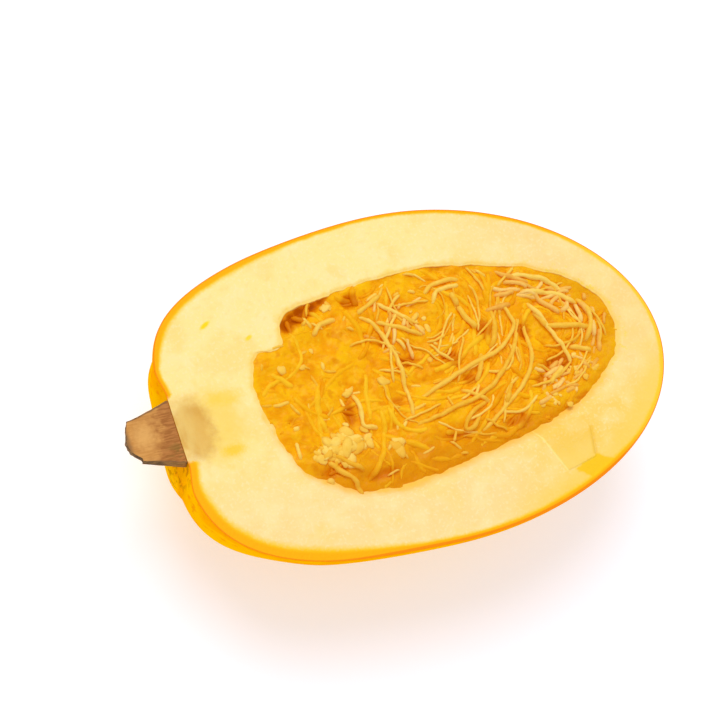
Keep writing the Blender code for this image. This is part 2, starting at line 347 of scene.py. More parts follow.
def step(value, start, end):
    """0 up to the start and 1 from the end, with a soft rise between them."""
    wanted = {"Value": value, "From Min": start, "From Max": end}
    if start > end:
        wanted = {"Value": value, "From Min": end, "From Max": start, "To Min": 1.0, "To Max": 0.0}
    return value.node("ShaderNodeMapRange", {"interpolation_type": "SMOOTHSTEP"}, wanted)


def blend(share, first, second):
    """The first colour where the share is 0, the second where it is 1, and a mix of them between."""
    return share.node("ShaderNodeMix", {"data_type": "RGBA"}, {0: share, 6: first, 7: second}, 2)


def blot(place, centre, size, soft=0.4, torn=0.5, turned=0.0):
    """A patch with torn edges round a place on the cut: 1 inside it and 0 outside. All in millimetres."""
    x, y, z = split(place)
    along = (x - centre[0]) * math.cos(turned) + (y - centre[1]) * math.sin(turned)
    across = (y - centre[1]) * math.cos(turned) - (x - centre[0]) * math.sin(turned)
    reach = (along / size[0]) ** 2 + (across / size[1]) ** 2
    rough = (speckle(place, 0.35 * min(size), 3.0) - 0.5) * 2 * torn
    return step(reach ** 0.5 + rough, 1 + soft / 2, 1 - soft / 2)


def bump(place, height, millimetres):
    """Small relief on a surface. The height is 0 to 1."""
    relief = {"Height": height, "Strength": 1.0, "Distance": millimetres / 1000}
    return place.node("ShaderNodeBump", inputs=relief, output="Normal")


def patch(place, corners, soft, torn):
    """A flat-sided patch on the cut: 1 between its corners, which go round to the left, and 0 outside."""
    x, y, z = split(place)
    wobble = (speckle(place, 2.5, 3.0) - 0.5) * torn
    inside = 1.0
    for (x0, y0), (x1, y1) in zip(corners, corners[1:] + corners[:1]):
        length = math.hypot(x1 - x0, y1 - y0)
        left_of_side = (y - y0) * ((x1 - x0) / length) - (x - x0) * ((y1 - y0) / length)
        inside = step(left_of_side + wobble, -soft, soft) * inside
    return inside


cut_height = 1000 * face_z
# Painted light: the skin glows faintly orange, which lifts its shaded underside.
skin, shader, place = new_material("squash skin", 0.42, Specular_IOR_Level=0.0, Emission_Strength=0.10)
shader.inputs["Emission Color"].default_value = colour(255, 150, 0)
x, y, z = split(place)
below_cut = cut_height - z
around = place.maths("ARCTAN2", below_cut, y) * rib_count
furrow = 0.5 - 0.5 * place.maths("COSINE", around)
cloud = speckle(place, 16, 3.0, (2.2, 1, 1))
tone = blend(step(cloud, 0.35, 0.65), colour(252, 200, 8), colour(254, 214, 24))
stripe = step(furrow + (speckle(place, 9, 3.0, (3, 1, 1)) - 0.5) * 0.9, 0.72, 1.0)
tone = blend(stripe * 0.85, tone, colour(250, 172, 16))
by_cut = step(below_cut + (speckle(place, 12, 3.0) - 0.5) * 30, 52, 12)
tone = blend(by_cut, tone, blend(step(cloud, 0.4, 0.6), colour(246, 166, 0), colour(250, 186, 0)))
orange_edge = step(below_cut + (speckle(place, 5) - 0.5) * 1.6, 1.2, 0.1)
tone = blend(orange_edge * 0.8, tone, colour(246, 140, 0))
fleck = step(speckle(place, 2.2, 3.0, (2, 1, 1)), 0.60, 0.70) * step(speckle(place, 14), 0.45, 0.6)
tone = blend(fleck * 0.4, tone, colour(244, 172, 22))
lines = step(speckle(place, 3.4, 3.0, (6, 1, 1)), 0.56, 0.68) * step(x, -72, -96)
tone = blend(lines * 0.7, tone, colour(238, 140, 10))
green = step(speckle(place, 2.6, 3.0, (9, 1, 1)), 0.50, 0.62) * step(x + abs(y + 14) * 1.6, -93, -102)
tone = blend(green * 0.55, tone, colour(150, 100, 8))
scuff = step(speckle(place, 1.6, 4.0, (5, 1, 1)), 0.66, 0.74) * step(speckle(place, 18), 0.5, 0.62)
tone = blend(scuff * 0.6, tone, colour(168, 104, 30))
connect(tone, shader, "Base Color")
connect(0.36 + 0.22 * cloud + 0.2 * scuff, shader, "Roughness")
connect(bump(place, speckle(place, 1.1, 3.0) * 0.4 + cloud * 0.6, 0.3), shader, "Normal")

flesh, shader, place = new_material(
    "squash flesh", 0.45, Subsurface_Weight=0.1, Subsurface_Scale=0.0008, Specular_IOR_Level=0.1
)
shader.inputs["Subsurface Radius"].default_value = (1.0, 0.8, 0.4)
x, y, z = split(place)
deep = place.node("ShaderNodeAttribute", {"attribute_name": "from_skin"}, output="Fac")
to_hollow = place.node("ShaderNodeAttribute", {"attribute_name": "to_hollow"}, output="Fac")
mottled = speckle(place, 11, 4.0)
grain = speckle(place, 1.3, 3.0)
# Painted shade: the flesh is a little darker towards the blossom end and on the low side.
tone = blend(step(x, 0, 95), colour(254, 228, 149), colour(248, 212, 143))
tone = blend(step(y, -8, -48) * 0.9, tone, colour(252, 216, 146))
tone = blend(step(x, 10, 50) * step(y, -10, -36), tone, colour(251, 207, 98))
tone = blend(step(mottled, 0.42, 0.68) * 0.5, tone, colour(254, 232, 170))
tone = blend(step(speckle(place, 17, 3.0), 0.5, 0.66) * 0.5, tone, colour(252, 214, 122))
tone = blend(step(grain, 0.5, 0.68) * 0.35, tone, colour(255, 237, 188))
tone = blend(step(speckle(place, 2.6, 3.0), 0.54, 0.7) * 0.3, tone, colour(250, 210, 116))
tone = blend(step(deep, 14, 5) * step(x, 0, 50) * step(y, 0, -30) * 0.8, tone, colour(252, 208, 92))
tone = blend(step(x, 60, 95) * 0.25, tone, colour(250, 216, 110))
stain = step(to_hollow + (speckle(place, 3.5, 4.0) - 0.5) * 7, 3.6, 0.2)
tone = blend(stain * 0.6, tone, colour(252, 206, 76))
drops = step(speckle(place, 1.9, 3.0), 0.60, 0.66) * step(to_hollow, 9, 2) * step(x, 40, 80)
tone = blend(drops * 0.6, tone, colour(248, 212, 50))
halo = blot(place, (-91, -1), (12, 15), 1.1, 0.45)
tone = blend(halo * (0.45 + 0.8 * (mottled - 0.3)), tone, colour(246, 206, 76))
tone = blend(blot(place, (-87.5, -12.5), (4.5, 2.2), 1.2, 0.6) * 0.8, tone, colour(247, 203, 40))
tone = blend(blot(place, (-85, 9), (7, 3), 1.2, 0.6) * 0.6, tone, colour(249, 208, 66))
core = blot(place, (-102, -0.5), (9, 12), 0.9, 0.35)
uneven = step(speckle(place, 7.0, 2.0, (1, 1.8, 1)), 0.36, 0.64)
khaki = blend(uneven, colour(214, 160, 70), colour(226, 178, 88))
tone = blend(core * 0.95, tone, khaki)
streak = step(speckle(place, 5.0, 3.0, (1, 3, 1)), 0.40, 0.62) * step(x, -95, -106) * core
tone = blend(streak * 0.35, tone, colour(246, 222, 138))
slab = patch(place, [(39, -33), (47, -54), (61, -51), (64, -33)], 0.35, 0.5)
slab = slab * (0.45 + 0.55 * step(y + (mottled - 0.5) * 12, -36, -46))
slab_tone = blend(step(y + (grain - 0.5) * 6, -40, -50), colour(243, 200, 84), colour(248, 208, 96))
tone = blend(slab * 0.8, tone, slab_tone)
sliver = patch(place, [(60.2, -50), (62.4, -50), (64.6, -38), (62.6, -38)], 0.5, 0.5)
tone = blend(sliver * 0.6, tone, colour(240, 190, 60))
sliced = patch(place, [(38.4, -33), (46.4, -54), (47.2, -54), (39.2, -33)], 0.3, 0.4)
tone = blend(sliced * 0.6, tone, colour(253, 236, 140))
flare = patch(place, [(50, -54), (58, -61), (70, -55), (62, -50)], 0.7, 2.4)
tone = blend(flare * 0.9, tone, colour(247, 196, 8))
tone = blend(blot(place, (-83, 40), (2.6, 0.9), 0.9, 0.5, 0.5), tone, colour(250, 214, 30))
tone = blend(blot(place, (-67, 31), (1.6, 0.8), 0.9, 0.5, 0.5), tone, colour(251, 216, 60))
lower_left = step(x, -20, -70) * step(y, 10, -20)
upper_left = step(x, -30, -70) * step(y, 20, 40)
at_stem = step(abs(y - 0.5) + (grain - 0.5) * 2, 14.5, 12.5) * step(x, -80, -95)
lowest = step(y, -20, -50) * step(x, 90, 60)
band = 1.5 + lower_left * 1.9 + upper_left * 1.0 + lowest * 0.7 + (speckle(place, 7, 3.0) - 0.5) * 0.9
band = band * (1 - at_stem * 0.97)
into = deep / band
bottom = lowest * step(x, -70, -20)
rind = blend(step(deep - bottom * 0.8, 0.25, 0.7), colour(244, 138, 0), colour(251, 176, 0))
rind = blend(step(into, 0.7, 1.4), rind, colour(252, 202, 20))
rind = blend(step(x, 70, 100) * step(deep, 0.2, 0.6) * 0.7, rind, colour(251, 212, 60))
tone = blend(step(into + (grain - 0.5) * 0.4, 1.9, 0.95) * (1 - at_stem), tone, rind)
# Painted shade: the flesh turns darker amber where it slopes down below the cut at the brim.
tone = blend(step(z, cut_height - 1.0, cut_height - 3.6) * 0.7, tone, colour(246, 190, 60))
open_wall = step(to_hollow, 0.3, 0.0) * step(z, cut_height - 0.4, cut_height - 2.0)
tone = blend(open_wall, tone, colour(222, 136, 14))
connect(tone, shader, "Base Color")
connect(0.34 + 0.3 * grain, shader, "Roughness")
connect(bump(place, grain * 0.4 + mottled * 0.5 + slab * 0.6, 0.35), shader, "Normal")

piece = add_piece("cut_half", shape, [skin, flesh])
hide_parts("squash_half")


# Pulp, the mass that fills the hollow. It is soft, wet and amber, a mat of short threads that grew
# together, lumpy on top. It meets the slumped flesh of the brim in an uneven line, and is closed below.
pulp_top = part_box("pulp")[1].z
mat_x, mat_y = 0.012, 0.004
mat_depth = 0.009


def hollow_share(x, y):
    """0 in the middle of the hollow and 1 on its brim."""
    reach = hollow_to_stem if x < hollow_x else hollow_to_blossom
    across = abs(y - hollow_middle(x)) / hollow_half_width
    return math.sqrt(((x - hollow_x) / reach) ** 2 + across**2.1)


# The deeper hollows between the threads: the middle of each, its half length, half width and depth, all in
# millimetres.
dents = (
    (-50, 33, 4, 3.2, 3.4),
    (-46, 35, 4, 3.4, 3.6),
    (-42, 37, 4, 3.4, 3.6),
    (-37, 39, 4, 3, 3.0),
    (-32, 41, 3, 2.5, 2.6),
    (-20, 37, 3.5, 3, 3.0),
    (-36, -9, 3, 6, 2.2),
    (-60, -6, 3, 2.5, 1.2),
    (-51, -30, 6, 3, 1.8),
    (-30, -36, 8, 2.5, 1.6),
    (15, 4, 5, 3.5, 2.2),
    (20, -6, 4, 3, 1.8),
    (-4, 7, 6, 3, 1.8),
    (-11, 17, 4, 3, 1.4),
    (33, 13, 4, 5, 2.0),
    (50, 8, 4, 5, 2.0),
    (60, -9, 6, 4.5, 3.2),
    (51, -14, 4, 3, 2.2),
    (68, -25, 6, 3, 1.8),
    (34, -28, 8, 3, 1.8),
    (-14, -8, 4, 3, 1.6),
    (5, -28, 7, 3, 1.6),
    (76, 12, 4, 5, 1.6),
)


def dent_depth(x, y):
    """How much a hollow between the threads lowers the mat at a place, in metres."""
    deepest = 0.0
    for middle_x, middle_y, half_long, half_wide, depth in dents:
        reach = ((1000 * x - middle_x) / half_long) ** 2 + ((1000 * y - middle_y) / half_wide) ** 2
        if reach < 6:
            deepest = max(deepest, depth * math.exp(-reach))
    return deepest / 1000


def bed_height(x, y):
    """How high the mat of pulp stands over the cut. It is under it nearly everywhere."""
    lumps = 0.0020 * wave(0.013, x, y) + 0.0008 * wave(0.009, x, y, 0.1)
    low = on_low_side(math.atan2(y, x - hollow_x))
    edge = (0.0002 + 0.0014 * low) * smooth(0.80, 1.0, hollow_share(x, y))
    fine = 0.0008 * wave(0.0042, x, y, 0.4) + 0.0004 * wave(0.0017, x, y, 0.9)
    return -0.0009 + lumps - edge - dent_depth(x, y) + fine


def ground_height(x, y):
    """What a thread lies on: the mat, or past the brim the flesh."""
    share = hollow_share(x, y)
    if share < 1:
        return bed_height(x, y) + 0.7 * dent_depth(x, y)
    away = (share - 1) * math.hypot(x - hollow_x, y - hollow_middle(x))
    drop, width = brim_slump(math.atan2(y, x - hollow_x))
    return 0.0002 - drop * smooth(width, 0, away)


shape = bmesh.new()
bmesh.ops.create_grid(shape, x_segments=260, y_segments=150, size=1)
dent_layer = shape.verts.layers.float.new("dent")
for point in shape.verts:
    u, v = point.co.x, point.co.y
    u, v = u * math.sqrt(1 - v * v / 2), v * math.sqrt(1 - u * u / 2)
    share = min(1.0, math.hypot(u, v))
    bearing = math.atan2(v, u)
    middle = Vector((mat_x, mat_y))
    brim = brim_point(bearing).xy
    drop, width = brim_slump(bearing)
    ragged = wave(0.011, brim.x, brim.y) + 0.5 * wave(0.0035, brim.x, brim.y, 0.5)
    out = 0.0012 + 0.22 * width * (0.8 + ragged)
    edge = brim + (brim - middle).normalized() * out
    x, y = middle.lerp(edge, share)
    border_height = -drop * smooth(width, 0, out) - 0.0006
    tuck = smooth(0.93, 1.0, share)
    point.co = (x, y, bed_height(x, y) * (1 - tuck) + border_height * tuck)
    point[dent_layer] = 1000 * dent_depth(x, y)
border = [edge for edge in shape.edges if edge.is_boundary]
grown = bmesh.ops.extrude_edge_only(shape, edges=border)["geom"]
for point in grown:
    if isinstance(point, bmesh.types.BMVert):
        point.co.x = mat_x + (point.co.x - mat_x) * 0.93
        point.co.y = mat_y + (point.co.y - mat_y) * 0.90
        point.co.z = -mat_depth
bmesh.ops.contextual_create(shape, geom=[edge for edge in shape.edges if edge.is_boundary])
bmesh.ops.translate(shape, verts=shape.verts, vec=(0, 0, face_z))
shade_smooth(shape)

# Painted light: the orange glow that the pulp gives off, standing in for light that goes through it.
painted_glow = (0.20, 0.030, 0.0)
wet_tint = (0.96, 0.95, 0.72)


def wet_material(name, roughness):
    """A material for the pulp. It glows with painted orange light in place of light going through it, so
    that its own shadows are orange and not grey.
    """
    material, shader, place = new_material(name, roughness, Specular_IOR_Level=0.06)
    shader.inputs["Emission Color"].default_value = (*painted_glow, 1)
    shader.inputs["Emission Strength"].default_value = 1.0
    return material, shader, place


def connect_wet(tone, shader):
    """Gives the pulp its colour, a little deeper for being wet, less what its painted glow adds."""
    deepened = tone.node("ShaderNodeVectorMath", {"operation": "MULTIPLY"}, {0: tone, 1: wet_tint})
    rest = tone.node("ShaderNodeVectorMath", {"operation": "SUBTRACT"}, {0: deepened, 1: painted_glow})
    connect(rest, shader, "Base Color")


mat, shader, place = wet_material("pulp mat", 0.3)
shader.inputs["Subsurface Weight"].default_value = 0.3
shader.inputs["Subsurface Scale"].default_value = 0.0012
shader.inputs["Subsurface Radius"].default_value = (1.0, 0.9, 0.7)
x, y, z = split(place)
dent = place.node("ShaderNodeAttribute", {"attribute_name": "dent"}, output="Fac")
streaks = speckle(place, 1.8, 3.0, (2.5, 1, 1))
cloud = speckle(place, 8, 3.0)
tone = blend(step(x, 25, 60), colour(252, 182, 8), colour(248, 182, 14))
tone = blend(step(cloud, 0.45, 0.6) * 0.8, tone, colour(248, 164, 2))
tone = blend(step(streaks, 0.50, 0.64) * 0.4, tone, colour(240, 150, 2))
tone = blend(step(speckle(place, 3.0, 3.0), 0.54, 0.66) * 0.5, tone, colour(255, 198, 44))
tone = blend(step(speckle(place, 13, 3.0), 0.50, 0.62) * 0.7, tone, colour(255, 196, 12))
tone = blend(step(speckle(place, 5.5, 4.0), 0.54, 0.66) * 0.5, tone, colour(230, 134, 2))
# Painted shade: the mat is darker orange on the low side of the hollow.
low_side = step(y + (cloud - 0.5) * 10, -18, -34)
tone = blend(low_side * 0.7, tone, colour(226, 140, 6))
tone = blend(step(x + (cloud - 0.5) * 24, 62, 86) * 0.5, tone, colour(234, 162, 14))
# Painted shade: the mat is darker where it lies deep below the cut.
tone = blend(step(z, cut_height - 2.4, cut_height - 5) * 0.5, tone, colour(222, 130, 4))
# Painted shade: the mat turns dark orange, then brown, in the dents between the threads.
tone = blend(step(dent + (streaks - 0.5) * 1.4, 0.4, 1.6) * 0.8, tone, colour(222, 122, 2))
tone = blend(step(dent + (streaks - 0.5) * 1.4, 1.5, 2.8) * 0.8, tone, colour(186, 88, 4))
connect_wet(tone, shader)
connect(bump(place, streaks * 0.6 + speckle(place, 0.9, 2.0) * 0.4, 0.25), shader, "Normal")

piece = add_piece("pulp_mat", shape, [mat])
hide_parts("pulp")


# Pulp, its threads. Each is a juicy strand as thick as spaghetti or thinner, tapered at its ends. The ones
# that the eye follows lie on top where they fell, and hundreds more are tangled under them: round a whirl at
# the blossom end, in arcs in the middle, and broken to short bits near the stem.
thread_step = 0.0012
tube_resolution = 1
whirl_start, whirl_middle = 0.044, (0.061, 0.009)
arcs_start, arcs_middle = -0.014, (0.008, 0.025)

# The threads on top: how high each lies, in steps of 0.7 mm, and the places that it runs through, in
# millimetres.
main_threads = (
    (1.0, (-19, 30), (-13, 24), (-9, 9), (-9, -9), (-10, -17)),
    (2.4, (43, 25), (46, 13), (42, 7), (34, 2), (15, -3), (-5, -10)),
    (1.5, (49, 14), (45, 6), (39, -2), (24, -13), (3, -18), (-10, -20)),
    (0.9, (51, 13), (50, 4), (48, -5), (41, -14), (24, -25), (17, -29)),
    (1.7, (24, -17), (14, -21), (10, -26), (13, -27), (18, -22)),
    (1.2, (50, 33), (59, 31), (68, 27), (75, 20)),
    (1.0, (55, 25), (64, 23), (72, 20), (78, 15)),
    (1.3, (79, 17), (81, 12), (80, 5), (76, -2)),
    (1.6, (57, 16), (60, 9), (67, 6), (80, 3)),
    (2.0, (56, 20), (60, 10), (63, 1), (66, -10)),
    (1.2, (12, 33), (17, 36), (24, 37), (30, 36)),
    (0.9, (14, 28), (18, 33), (29, 34)),
    (1.1, (-9, 34), (-4, 29), (5, 21)),
    (1.6, (-12, 26), (-4, 21), (6, 16)),
    (0.8, (-19, 31), (-12, 34), (-7, 37)),
    (0.8, (-40, 26), (-36, 30), (-28, 31)),
    (1.9, (25, 25), (27, 19), (30, 14)),
    (1.3, (38, 21), (38, 13), (33, 4)),
    (1.2, (23, 31), (25, 25)),
    (1.3, (-32, -1), (-31, -8), (-32, -15), (-26, -17)),
    (1.5, (-48, -24), (-43, -29), (-38, -33)),
    (1.2, (36, -12), (31, -20)),
    (1.4, (62, -10), (53, -16)),
    (1.7, (28, 3), (22, -8)),
    (1.2, (67, -3), (77, -6)),
    (1.6, (14, -10), (25, -18)),
    (0.6, (-51, -26), (-46, -32), (-43, -36), (-41, -42)),
)


def smooth_route(points, spacing):
    """Points about a spacing apart on a smooth curve through the given ones."""
    padded = [2 * points[0] - points[1], *points, 2 * points[-1] - points[-2]]
    route = []
    for before, start, end, after in zip(padded, padded[1:], padded[2:], padded[3:]):
        count = max(1, round((end - start).length / spacing))
        for number in range(count):
            t = number / count
            bend = 2 * before - 5 * start + 4 * end - after
            twist = 3 * start - before - 3 * end + after
            route.append((2 * start + (end - before) * t + bend * t * t + twist * t * t * t) / 2)
    return [*route, points[-1]]


def lie_down(route, radius, lift):
    """A thread along a route: its points with their height over the mat, and its thickness at each."""
    thread = []
    last = len(route) - 1
    for number, (x, y) in enumerate(route):
        arch = 1 - (2 * number / last - 1) ** 6
        x += 0.0005 * wave(0.0045, x, y, 9 * lift)
        y += 0.0005 * wave(0.0045, x, y, 9 * lift + 0.1)
        sway = 0.0004 * wave(0.005, x, y, 20 * lift)
        height = ground_height(x, y) + (lift + sway) * arch - 0.9 * radius * (1 - arch)
        swell = 1 + 0.32 * wave(0.0035, x, y, 40 * lift) + 0.16 * wave(0.0014, x, y, 7)
        thickness = radius * swell * (0.6 + 0.4 * arch**0.5)
        thread.append((Vector((x, y, min(face_z + height, pulp_top - thickness))), thickness))
    return thread


def lay_of_thread(x, y, draw):
    """Which way the threads lie at a place, in radians."""
    if x > whirl_start:
        centre = whirl_middle
    elif x > arcs_start:
        centre = arcs_middle
    else:
        return draw.uniform(0, 2 * math.pi)
    return math.atan2(y - centre[1], x - centre[0]) + math.pi / 2


def loose_thread(draw, along, across, length, radius, lift, wild, aim=None):
    """A thread from a random place in a patch. It runs more or less with those round it, or as aimed."""
    while True:
        x, y = draw.uniform(*along), draw.uniform(*across)
        if hollow_share(x, y) < 0.96:
            break
    heading = lay_of_thread(x, y, draw) if aim is None else aim
    heading += draw.gauss(0, wild) + draw.choice((0, math.pi))
    curl = draw.gauss(0, 0.05)
    limit = draw.uniform(0.94, 1.03)
    route = [(x, y)]
    for number in range(max(3, round(draw.uniform(*length) / thread_step))):
        near = lay_of_thread(x, y, draw) if aim is None and x > arcs_start else heading
        turn = math.sin(2 * (near - heading)) * 0.06
        heading += turn + curl + draw.gauss(0, 0.07)
        x += thread_step * math.cos(heading)
        y += thread_step * math.sin(heading)
        if hollow_share(x, y) > limit:
            break
        route.append((x, y))
    if len(route) < 4:
        return []
    return lie_down(route, draw.uniform(*radius), draw.uniform(*lift))


def make_threads(name, threads, draw, material):
    """One piece of many threads, each with its own shade, 0 to 1, and the depth of the dents under it."""
    threads = [thread for thread in threads if thread]
    curve = bpy.data.curves.new(name, "CURVE")
    curve.dimensions = "3D"
    curve.bevel_depth = 1.0
    curve.bevel_resolution = tube_resolution
    for thread in threads:
        spline = curve.splines.new("POLY")
        spline.points.add(len(thread) - 1)
        for point, (place, radius) in zip(spline.points, thread):
            point.co = (*place, 1)
            point.radius = radius
    guide = bpy.data.objects.new(name, curve)
    scene.collection.objects.link(guide)
    bpy.context.view_layer.update()
    mesh = bpy.data.meshes.new_from_object(guide.evaluated_get(bpy.context.evaluated_depsgraph_get()))
    bpy.data.objects.remove(guide, do_unlink=True)
    tube_sides = len(mesh.vertices) // sum(len(thread) for thread in threads)
    shades = []
    dented = []
    for thread in threads:
        shades += [draw.random()] * (len(thread) * tube_sides)
        for place, radius in thread:
            dented += [1000 * dent_depth(place.x, place.y)] * tube_sides
    mesh.attributes.new("shade", "FLOAT", "POINT").data.foreach_set("value", shades)
    mesh.attributes.new("dent", "FLOAT", "POINT").data.foreach_set("value", dented)
    shape = bmesh.new()
    shape.from_mesh(mesh)
    bmesh.ops.holes_fill(shape, edges=[edge for edge in shape.edges if edge.is_boundary], sides=0)
    shade_smooth(shape)
    piece = add_piece(name, shape, [material])


def thread_material(name, dark, middle, light, sunk=0.0):
    """Wet thread: its own shade of colour for each, cloudy along it, with painted shade on the low side and,
    as much as sunk asks, painted shade in the dents.
    """
    material, shader, place = wet_material(name, 0.3)
    shade = place.node("ShaderNodeAttribute", {"attribute_name": "shade"}, output="Fac")
    mixed = shade * 0.75 + speckle(place, 2.5, 3.0) * 0.9 - 0.3
    tone = blend(step(mixed, 0.1, 0.5), colour(*dark), colour(*middle))
    tone = blend(step(mixed, 0.5, 0.95), tone, colour(*light))
    # Painted shade: threads on the low side of the hollow are darker orange.
    low = step(split(place)[1], -18, -36)
    tone = blend(low * 0.35, tone, colour(232, 158, 30))
    # Painted shade in the dents under the threads, as strong as sunk asks.
    if sunk:
        dent = place.node("ShaderNodeAttribute", {"attribute_name": "dent"}, output="Fac")
        tone = blend(step(dent, 0.3, 1.6) * sunk, tone, colour(218, 118, 2))
    connect_wet(tone, shader)
    connect(bump(place, speckle(place, 0.6, 2.0), 0.15), shader, "Normal")
    return material


draw = random.Random(4)
threads = []
for lift, *corners in main_threads:
    route = smooth_route([Vector(corner) / 1000 for corner in corners], thread_step)
    threads.append(lie_down(route, draw.uniform(0.00095, 0.00125), 0.7 * lift / 1000))
pale = thread_material("pale thread", (245, 182, 50), (250, 199, 80), (254, 216, 116))
make_threads("main_threads", threads, draw, pale)

all_along = (-0.068, 0.090)
all_across = (-0.041, 0.046)
amber = thread_material("amber thread", (244, 158, 4), (251, 180, 12), (254, 198, 40), 0.8)
threads = []
for number in range(300):
    along = all_along if number % 3 else (0.0, 0.090)
    length, radius, lift = (0.010, 0.032), (0.0007, 0.0015), (-0.0018, -0.0003)
    threads.append(loose_thread(draw, along, all_across, length, radius, lift, 0.4))
make_threads("amber_threads", threads, draw, amber)

# The fine threads and the clumps: how many, where along and across, how long, how thick, how high and how
# wild. Two of the clumps also have the way that they point.
fine_groups = (
    (70, (-0.010, 0.090), all_across, (0.008, 0.026), (0.0004, 0.0007), (0.0000, 0.0012), 0.5),
    (50, (-0.068, 0.010), all_across, (0.003, 0.007), (0.0005, 0.0008), (-0.0004, 0.0004), 1.0),
)
threads = [loose_thread(draw, *group) for count, *group in fine_groups for number in range(count)]
make_threads("fine_threads", threads, draw, pale)

peach = thread_material("peach thread", (243, 176, 76), (249, 193, 102), (253, 212, 134))
clumps = (
    (14, (-0.014, 0.004), (0.012, 0.032), (0.004, 0.009), (0.0006, 0.0010), (-0.0004, 0.0008), 1.2),
    (14, (0.048, 0.080), (0.019, 0.036), (0.008, 0.018), (0.0007, 0.0012), (-0.0002, 0.0012), 0.35, -0.35),
    (26, (0.050, 0.082), (-0.022, -0.008), (0.004, 0.010), (0.0006, 0.0011), (-0.0006, 0.0006), 1.2),
    (12, (0.074, 0.088), (-0.004, 0.020), (0.005, 0.012), (0.0007, 0.0012), (-0.0003, 0.0008), 0.35, 1.4),
)
threads = [loose_thread(draw, *group) for count, *group in clumps for number in range(count)]
make_threads("clumps", threads, draw, peach)


# Pulp, its crumbs. They are broken bits of pale pulp, soft and ragged, that cling together in heaps near the
# stem and under the whirl, and lie about singly. They stick to the mat by their own juice.
shape = bmesh.new()
shade_layer = shape.verts.layers.float.new("shade")
draw = random.Random(11)

# A heap is so many crumbs, spread so far, of such a size, round a place. A lone crumb is a place and a size.
# All but the number of crumbs is in millimetres.
heaps = (
    (46, 6.5, 2.3, -42, -22),
    (10, 3.2, 1.9, -52, -23),
    (6, 2.0, 2.4, -20, -27),
    (3, 1.2, 1.6, -34, 0),
    (6, 1.8, 1.3, -31, 37),
    (1, 0.0, 1.5, -52, -33.6),
    (10, 5.0, 1.3, 68, -14),
    (9, 5.0, 1.2, 52, -24),
    (8, 4.0, 1.2, 6, 22),
)
lone_crumbs = (
    (-58, 15, 1.7),
    (-49, 14, 1.1),
    (-43, 20, 1.0),
    (-18, 1, 1.8),
    (5, 5, 1.3),
    (-39, -13, 0.9),
    (-60, -10, 1.0),
)


def add_crumb(shape, draw, x, y, size):
    """A ragged lump that is half sunk in the mat at a place."""
    shade = draw.random()
    turn = Matrix.Rotation(draw.uniform(0, math.pi), 3, "Z")
    long, thick = draw.uniform(1.0, 1.8), draw.uniform(0.35, 0.6)
    own = Vector((draw.uniform(0, 90), 0, 0))
    middle = Vector((x, y, face_z + ground_height(x, y) + 0.1 * size))
    for point in bmesh.ops.create_icosphere(shape, subdivisions=2, radius=1)["verts"]:
        ragged = 1 + 0.70 * noise.noise(point.co * 0.9 + own)
        reach = turn @ Vector((point.co.x * long, point.co.y, point.co.z * thick))
        point.co = middle + reach * size * ragged
        point.co.z = min(point.co.z, pulp_top - 0.0001)
        point[shade_layer] = shade


for count, spread, size, x, y in heaps:
    for number in range(count):
        near_x, near_y = draw.gauss(x, spread / 1.6), draw.gauss(y, spread / 2)
        add_crumb(shape, draw, near_x / 1000, near_y / 1000, size * draw.uniform(0.5, 1.1) / 1000)
for x, y, size in lone_crumbs:
    add_crumb(shape, draw, x / 1000, y / 1000, size / 1000)
shade_smooth(shape)
crumb = thread_material("crumb of pulp", (248, 190, 70), (252, 204, 92), (255, 218, 122))
piece = add_piece("crumbs", shape, [crumb])


# Stem, the dry woody stalk, split by the same cut. Ribbed bark outside, frayed and notched at its free
# end, straw-coloured fibres along the cut that redden towards the root, where it grew on the squash.
stem_low, stem_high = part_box("stem")
stem_root = stem_high.x
stem_dome = 0.0026
stem_length = stem_root - stem_low.x - stem_dome
root_radius = 0.0131
end_radius = 0.0087
turn_steps = 96
rows = 48


def stem_radius(share):
    """The stem's radius, from its root at 0 to its free end at 1."""
    return end_radius + (root_radius - end_radius) * (1 - share) ** 1.3


profile = [(stem_root, 0.0), (stem_root, root_radius * 0.5)]
profile += [(stem_root - stem_length * row / rows, stem_radius(row / rows)) for row in range(rows + 1)]
for share in (0.94, 0.85, 0.7, 0.5, 0.25, 0.0):
    profile.append((stem_root - stem_length - stem_dome * (1 - share**3), end_radius * share))
shape = bmesh.new()
points = [shape.verts.new((x, radius, 0)) for x, radius in profile]
sides = [shape.edges.new(pair) for pair in zip(points, points[1:])]
half_turn = {"cent": (0, 0, 0), "axis": (1, 0, 0), "angle": -math.pi, "steps": turn_steps}
bmesh.ops.spin(shape, geom=points + sides, use_merge=False, **half_turn)
bmesh.ops.remove_doubles(shape, verts=shape.verts, dist=1e-6)
for point in shape.verts:
    x, y, z = point.co
    angle = math.atan2(-z, y)
    at_end = smooth(-0.116, -0.125, x)
    fibre = 0.012 * math.sin(37 * angle + 3 * wave(0.006, x, y, z)) * smooth(0, 0.12, math.sin(angle))
    ridge = (1 + 0.09 * math.sin(5 * angle) + fibre) * (1 - 0.03 * at_end)
    frayed = 0.0009 * wave(0.0035, x, y, z) + 0.0004 * wave(0.0012, x, y, z)
    notch = 0.0022 * math.exp(-(((y + 0.0072) / 0.0018) ** 2)) * smooth(-0.122, -0.1255, x)
    point.co = (max(stem_low.x, x + (frayed + 0.0004) * at_end + notch), y * ridge, z * ridge)
cut = bmesh.ops.contextual_create(shape, geom=[edge for edge in shape.edges if edge.is_boundary])["faces"]
bmesh.ops.translate(shape, verts=shape.verts, vec=(0, 0, face_z))
bmesh.ops.recalc_face_normals(shape, faces=shape.faces)
for face in shape.faces:
    face.smooth = face not in cut
for face in cut:
    face.material_index = 1
    for edge in face.edges:
        edge.smooth = False

